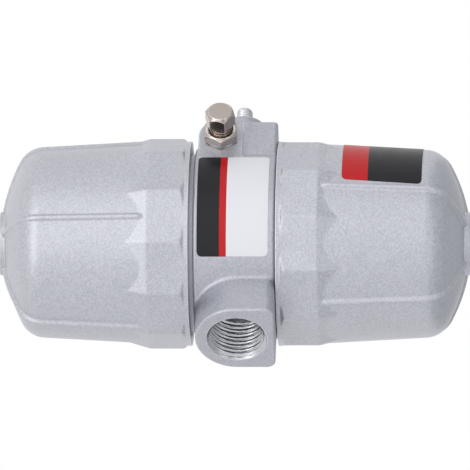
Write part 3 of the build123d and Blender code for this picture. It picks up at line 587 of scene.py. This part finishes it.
bowl_rings = inside_rings() + outside_rings()
upper = lathe("upper_bowl_casting", bowl_rings, upper_place, "upper_bowl", bowl_coat)
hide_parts("upper_bowl")
lower = lathe("lower_bowl_casting", bowl_rings, lower_place, "lower_bowl", bowl_coat)
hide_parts("lower_bowl")
print("bowl faces:", len(upper.data.polygons), len(lower.data.polygons))

# %% [markdown]
# ## The tapped inlet
# A G 1/2 pipe thread has a 55 degree form with a pitch of 1.814 mm. The engineering
# bore is the thread's full depth, so the turns are a lining that stands inward from
# it: a ring stack whose radius follows a triangle wave that climbs one pitch in each
# turn. The tap's lead-in leaves a bright cone at the mouth.

# %% Inlet measures, in mm
PITCH = 1.8143
MAJOR = 20.955 / 2
MINOR = 18.631 / 2
INLET_DEPTH = 17.0
DUCT = 7.5
SKIN = 0.02                # the lining stands this far off the casting's own faces
ROOT_GAP = 0.06            # the thread's root, inward of the bore
MOUTH_GAP = 0.05           # the lining starts this far inside the mouth
CONE_SLOPE = 0.9
INLET_AROUND = 240
INLET_SPACING = 0.09


# %% Inlet thread
def thread_radius(angle, along, pitch, minor, major, hand=1):
    """Radius of a screw thread: a wave with eased crests and roots."""
    phase = (along / pitch - hand * angle / (2 * math.pi)) % 1.0
    wave = np.abs(2 * phase - 1)
    eased = np.clip((wave - 0.12) / 0.8, 0, 1)
    return minor + (major - minor) * eased


def inlet_lining():
    """Behind the thread to the mouth, back in along the thread, and across to the duct."""
    angle = circle(INLET_AROUND)
    rings = plain_rings([(MAJOR - SKIN, INLET_DEPTH - SKIN), (MAJOR - SKIN, MOUTH_GAP)], INLET_AROUND)
    for along in np.arange(MOUTH_GAP, INLET_DEPTH - 0.3, INLET_SPACING):
        turns = thread_radius(angle, along, PITCH, MINOR, MAJOR - ROOT_GAP)
        cone = np.full(INLET_AROUND, MAJOR + MOUTH_GAP - CONE_SLOPE * along)
        rings.append((smooth_max(turns, cone, 0.08), np.full(INLET_AROUND, along)))
    return rings + plain_rings([(DUCT + SKIN, INLET_DEPTH - 0.2), (DUCT + SKIN, INLET_DEPTH - SKIN)], INLET_AROUND)


mount_at = {mount["name"]: mount["pos_m"] for mount in frame["record"]["mounts"]}
ALONG_Y = Matrix.Rotation(-math.pi / 2, 4, "X")     # turns the lathe's axis from Z to +Y
lathe("inlet_thread", inlet_lining(), Matrix.Translation(mount_at["inlet_port"]) @ ALONG_Y,
      "valve", thread_metal, tube=True)
print("thread turns:", round(INLET_DEPTH / PITCH, 1))

# %% [markdown]
# ## The manual drain screw
# A hexagon-headed brass screw with a needle point, nickel plated. Its neck carries a
# fine thread that shows between the head and the bonnet. Head and bonnet are
# hexagons whose top corners are turned off in a cone, which leaves the curved
# edges that catch the light; the nickel's edges also carry painted glints.

# %% Hexagons
EDGE_ROLL = 0.25           # radius of the edge between the cone and the flat top
HEX_CORNER = 0.18          # how far the six corners are eased
HEX_CONE = 0.16            # fillet between a flat and the cone
HEX_FOOT = 0.12            # height of the eased foot


def rolled_edge(radius, base, count):
    """The lathe-cut edge where a side turns over into the flat top; the roll is what glints."""
    return plain_rings([(radius - EDGE_ROLL * (1 - math.cos(turn)), base + EDGE_ROLL * (math.sin(turn) - 0.5))
                        for turn in np.linspace(math.pi / 6, math.pi / 2, 5)], count)


def hexagon_rings(flats, base, top, count, turn_degrees, cone_flat, cone_degrees):
    """Rings of a hexagon bar; a cone leaves a round top as wide as cone_flat."""
    side = polygon_radius(circle(count) - math.radians(turn_degrees), flats, 6, HEX_CORNER)
    rings = [(side * 0.97, np.full(count, base)), (side, np.full(count, base + HEX_FOOT))]
    slope = 1 / math.tan(math.radians(cone_degrees))
    crown = cone_flat / 2
    top -= EDGE_ROLL / 2
    # few rings up the plain flats, many where the cone cuts them
    for height in np.concatenate((np.linspace(base + 0.2, top - 2.4, 4), np.linspace(top - 2.2, top, 26))):
        cone = np.full(count, crown + (top - height) * slope)
        rings.append((smooth_min(side, cone, HEX_CONE), np.full(count, height)))
    return rings + rolled_edge(crown, top, count)


# %% Screw and bonnet measures, in mm
SCREW_AROUND = 240
HEAD_FLATS, HEAD_HEIGHT = 9.3, 5.5
HEAD_TOP_FLAT, HEAD_CONE = 8.3, 45
HEAD_TURN = 18.5           # degrees to a flat of the head, from the side that faces down
NEEDLE = 0.6               # radius at the tip of the needle
STEM = 2.3
SEAL_GROOVE = 1.2
NECK_ROOT, NECK_CREST = 3.3, 3.9
NECK_LINING = 3.2          # inside of the threaded neck, hidden in the screw
NECK_PITCH = 1.25
NECK_SPACING = 0.08
BONNET_FLATS, BONNET_HEIGHT = 11.0, 3.6
BONNET_TOP_FLAT, BONNET_CONE = 10.3, 30
BONNET_TURN = 2.0
BONNET_SHANK = 4.85
BONNET_MOUTH = 3.95        # bore that the neck moves in
STEM_BORE = 2.4
BONNET_STEP = 26.0         # x of the step between those two bores
# a turned recess round the bonnet's mouth, as (radius, depth below its top)
BONNET_RECESS = ((4.95, 0.0), (4.85, 0.25), (4.6, 0.25), (4.5, 0.02), (4.4, 0.0),
                 (4.3, 0.03), (4.2, 0.12), (BONNET_MOUTH, 0.6))

screw_low, screw_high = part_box("drain_screw")
bonnet_low, bonnet_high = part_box("drain_bonnet")
tip = screw_low.x / MM
head_top = screw_high.x / MM
head_base = head_top - HEAD_HEIGHT
shank_end = bonnet_low.x / MM
bonnet_top = bonnet_high.x / MM
bonnet_base = bonnet_top - BONNET_HEIGHT


def along_x(low, high):
    """Turns the lathe's axis to +X and centres it on a box."""
    return (Matrix.Translation((0, (low.y + high.y) / 2, (low.z + high.z) / 2))
            @ Matrix.Rotation(math.pi / 2, 4, "Y"))


print("screw head top in mm:", round(head_top, 2))

# %% Screw
screw_rings = plain_rings([
    (NEEDLE, tip), (STEM, tip + 4), (STEM, tip + 8.9), (SEAL_GROOVE, tip + 8.95), (SEAL_GROOVE, tip + 12.4),
    (STEM, tip + 12.45), (STEM, BONNET_STEP + 0.2), (NECK_ROOT, BONNET_STEP + 0.3), (NECK_ROOT, head_base),
], SCREW_AROUND)
screw_rings += hexagon_rings(HEAD_FLATS, head_base, head_top, SCREW_AROUND, HEAD_TURN, HEAD_TOP_FLAT, HEAD_CONE)
screw_rings.append(ring_at(3.0, head_top, SCREW_AROUND))
screw = lathe("drain_screw_turned", screw_rings, along_x(screw_low, screw_high),
              "drain_screw", nickel)
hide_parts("drain_screw")

neck_rings = plain_rings([(NECK_LINING, head_base - 0.3), (NECK_LINING, BONNET_STEP + 0.4)], SCREW_AROUND)
for along in np.arange(BONNET_STEP + 0.5, head_base - 0.35, NECK_SPACING):
    turns = thread_radius(circle(SCREW_AROUND), along, NECK_PITCH, NECK_ROOT, NECK_CREST, -1)
    neck_rings.append((turns, np.full(SCREW_AROUND, along)))
neck = lathe("drain_screw_neck", neck_rings, along_x(screw_low, screw_high),
             "drain_screw", dark_neck_thread, tube=True)
print("screw faces:", len(screw.data.polygons), "neck faces:", len(neck.data.polygons))

# %% Bonnet
bonnet_rings = plain_rings([(STEM_BORE, shank_end), (BONNET_SHANK, shank_end), (BONNET_SHANK, bonnet_base)],
                           SCREW_AROUND)
bonnet_rings += hexagon_rings(BONNET_FLATS, bonnet_base, bonnet_top, SCREW_AROUND,
                              BONNET_TURN, BONNET_TOP_FLAT, BONNET_CONE)
bonnet_rings += plain_rings([(radius, bonnet_top - depth) for radius, depth in BONNET_RECESS], SCREW_AROUND)
bonnet_rings += plain_rings([(BONNET_MOUTH, BONNET_STEP), (STEM_BORE, BONNET_STEP)], SCREW_AROUND)
bonnet = lathe("drain_bonnet_turned", bonnet_rings, along_x(bonnet_low, bonnet_high),
               "valve", nickel, tube=True)
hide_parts("drain_bonnet")
print("bonnet faces:", len(bonnet.data.polygons))

# %% [markdown]
# ## The hose nipple
# The nipple is turned from bar, and the tool leaves a few shallow grooves near its
# nose that help a soft hose to grip.

# %% Nipple
NIPPLE = 2.8
NIPPLE_LENGTH = 6.7        # beyond the boss
NIPPLE_BORE = 1.6
NIPPLE_SHANK = 3.6
GROOVES = (4.2, 3.35, 2.5, 1.65)     # behind the tip
GROOVE_HALF, GROOVE_DEPTH = 0.25, 0.2
# the rounded nose, as (inward of the nipple's radius, behind the tip)
NOSE = ((0.0, 0.9), (0.06, 0.55), (0.25, 0.2), (0.5, 0.03))

nipple_low, nipple_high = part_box("outlet_nipple")
nipple_root, nipple_tip = nipple_low.y / MM, nipple_high.y / MM
nipple_face = nipple_tip - NIPPLE_LENGTH
profile = [(NIPPLE_BORE, nipple_root), (NIPPLE_SHANK, nipple_root),
           (NIPPLE_SHANK, nipple_face), (NIPPLE, nipple_face)]
for groove in GROOVES:
    profile += [(NIPPLE, nipple_tip - groove - GROOVE_HALF), (NIPPLE - GROOVE_DEPTH, nipple_tip - groove),
                (NIPPLE, nipple_tip - groove + GROOVE_HALF)]
profile += [(NIPPLE - inward, nipple_tip - behind) for inward, behind in NOSE]
profile += [(1.9, nipple_tip), (NIPPLE_BORE, nipple_tip - 0.3)]
nipple = lathe("outlet_nipple_turned", plain_rings(profile, 96),
               Matrix.Translation((0, 0, mount_at["outlet_nipple"][2])) @ ALONG_Y, "valve",
               nipple_metal, tube=True)
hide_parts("outlet_nipple")
print("nipple length in mm:", round(nipple_tip - nipple_root, 1))

# %% [markdown]
# ## Floor, world and lamps
# The picture has a clean white ground and soft, shadowless light. The ground is
# white to the camera and to reflections, while the light that reaches the valve is
# set by its own level, so the paint keeps its grey. The floor is clear from below.
# A wide soft lamp beside the camera gives the long pale highlight, and weaker ones
# fill the other sides.

# %% World
ROOM_LEVEL = 0.8           # light that the white room gives the valve


def white_to_camera(tree, light_level, closure):
    """White for the camera, for reflections and through glass; light_level for the rest."""
    path = add_node(tree, "ShaderNodeLightPath").outputs
    seen = calculate(tree, "MAXIMUM", path["Is Camera Ray"], path["Is Transmission Ray"])
    seen = calculate(tree, "MAXIMUM", seen, path["Is Glossy Ray"])
    white = add_node(tree, closure, {"Color": (1, 1, 1, 1), "Strength": 1.0}).outputs[0]
    other = add_node(tree, closure, {"Color": linear("F2F4F8"), "Strength": light_level}).outputs[0]
    return add_node(tree, "ShaderNodeMixShader", {0: seen, 1: other, 2: white}).outputs[0]


world = bpy.data.worlds.new("white_tent")
bpy.context.scene.world = world
world.use_nodes = True
world.node_tree.nodes.clear()
sky = white_to_camera(world.node_tree, ROOM_LEVEL, "ShaderNodeBackground")
add_node(world.node_tree, "ShaderNodeOutputWorld", {"Surface": sky})
print("world:", world.name)

# %% Floor
FLOOR_HALF = 2.4           # in metres, as is the drop
FLOOR_DROP = 0.9           # low enough to leave the lamps above it
floor_mesh = bpy.data.meshes.new("floor")
corners = [(x * FLOOR_HALF, y * FLOOR_HALF, -FLOOR_DROP) for x, y in ((-1, -1), (1, -1), (1, 1), (-1, 1))]
floor_mesh.from_pydata(corners, [], [(0, 1, 2, 3)])
floor = bpy.data.objects.new("floor", floor_mesh)
bpy.context.scene.collection.objects.link(floor)
floor_paint, floor_tree, floor_shader = start_material("matte_white_floor", Roughness=0.9,
                                                       Base_Color=linear("D8D8D8"))
from_below = add_node(floor_tree, "ShaderNodeNewGeometry").outputs["Backfacing"]
clear = add_node(floor_tree, "ShaderNodeBsdfTransparent").outputs[0]
see_through = add_node(floor_tree, "ShaderNodeMixShader", {0: from_below, 1: floor_shader.outputs[0], 2: clear})
floor_tree.links.new(see_through.outputs[0], floor_tree.nodes["Material Output"].inputs["Surface"])
dress(floor, floor_paint)
print("floor in metres:", 2 * FLOOR_HALF)

# %% Lamps
LAMP_DISTANCE = 1.4        # in metres
# name, degrees left of the camera, degrees above it, width, height, power
LAMPS = (("key_softbox", 22, 24, 1.3, 2.2, 4.6),
         ("left_softbox", 40, 6, 0.5, 2.0, 3.8),
         ("right_softbox", -36, 0, 0.5, 2.0, 2.1))


def soft_lamp(name, left, up, width, height, power):
    """A soft box that faces the valve, so many degrees left of and above the camera."""
    lamp_data = bpy.data.lights.new(name, "AREA")
    lamp_data.shape = "RECTANGLE"
    lamp_data.size = width
    lamp_data.size_y = height
    lamp_data.energy = power
    lamp = bpy.data.objects.new(name, lamp_data)
    aim = (outward - picture_right * math.tan(math.radians(left))
           + picture_up * math.tan(math.radians(up))).normalized()
    across = picture_up.cross(aim).normalized()
    facing = Matrix((across, aim.cross(across), aim)).transposed().to_4x4()
    lamp.matrix_world = Matrix.Translation(Vector((0, 0, middle_z)) + aim * LAMP_DISTANCE) @ facing
    bpy.context.scene.collection.objects.link(lamp)


for lamp_values in LAMPS:
    soft_lamp(*lamp_values)
print("lamps:", len(bpy.data.lights))
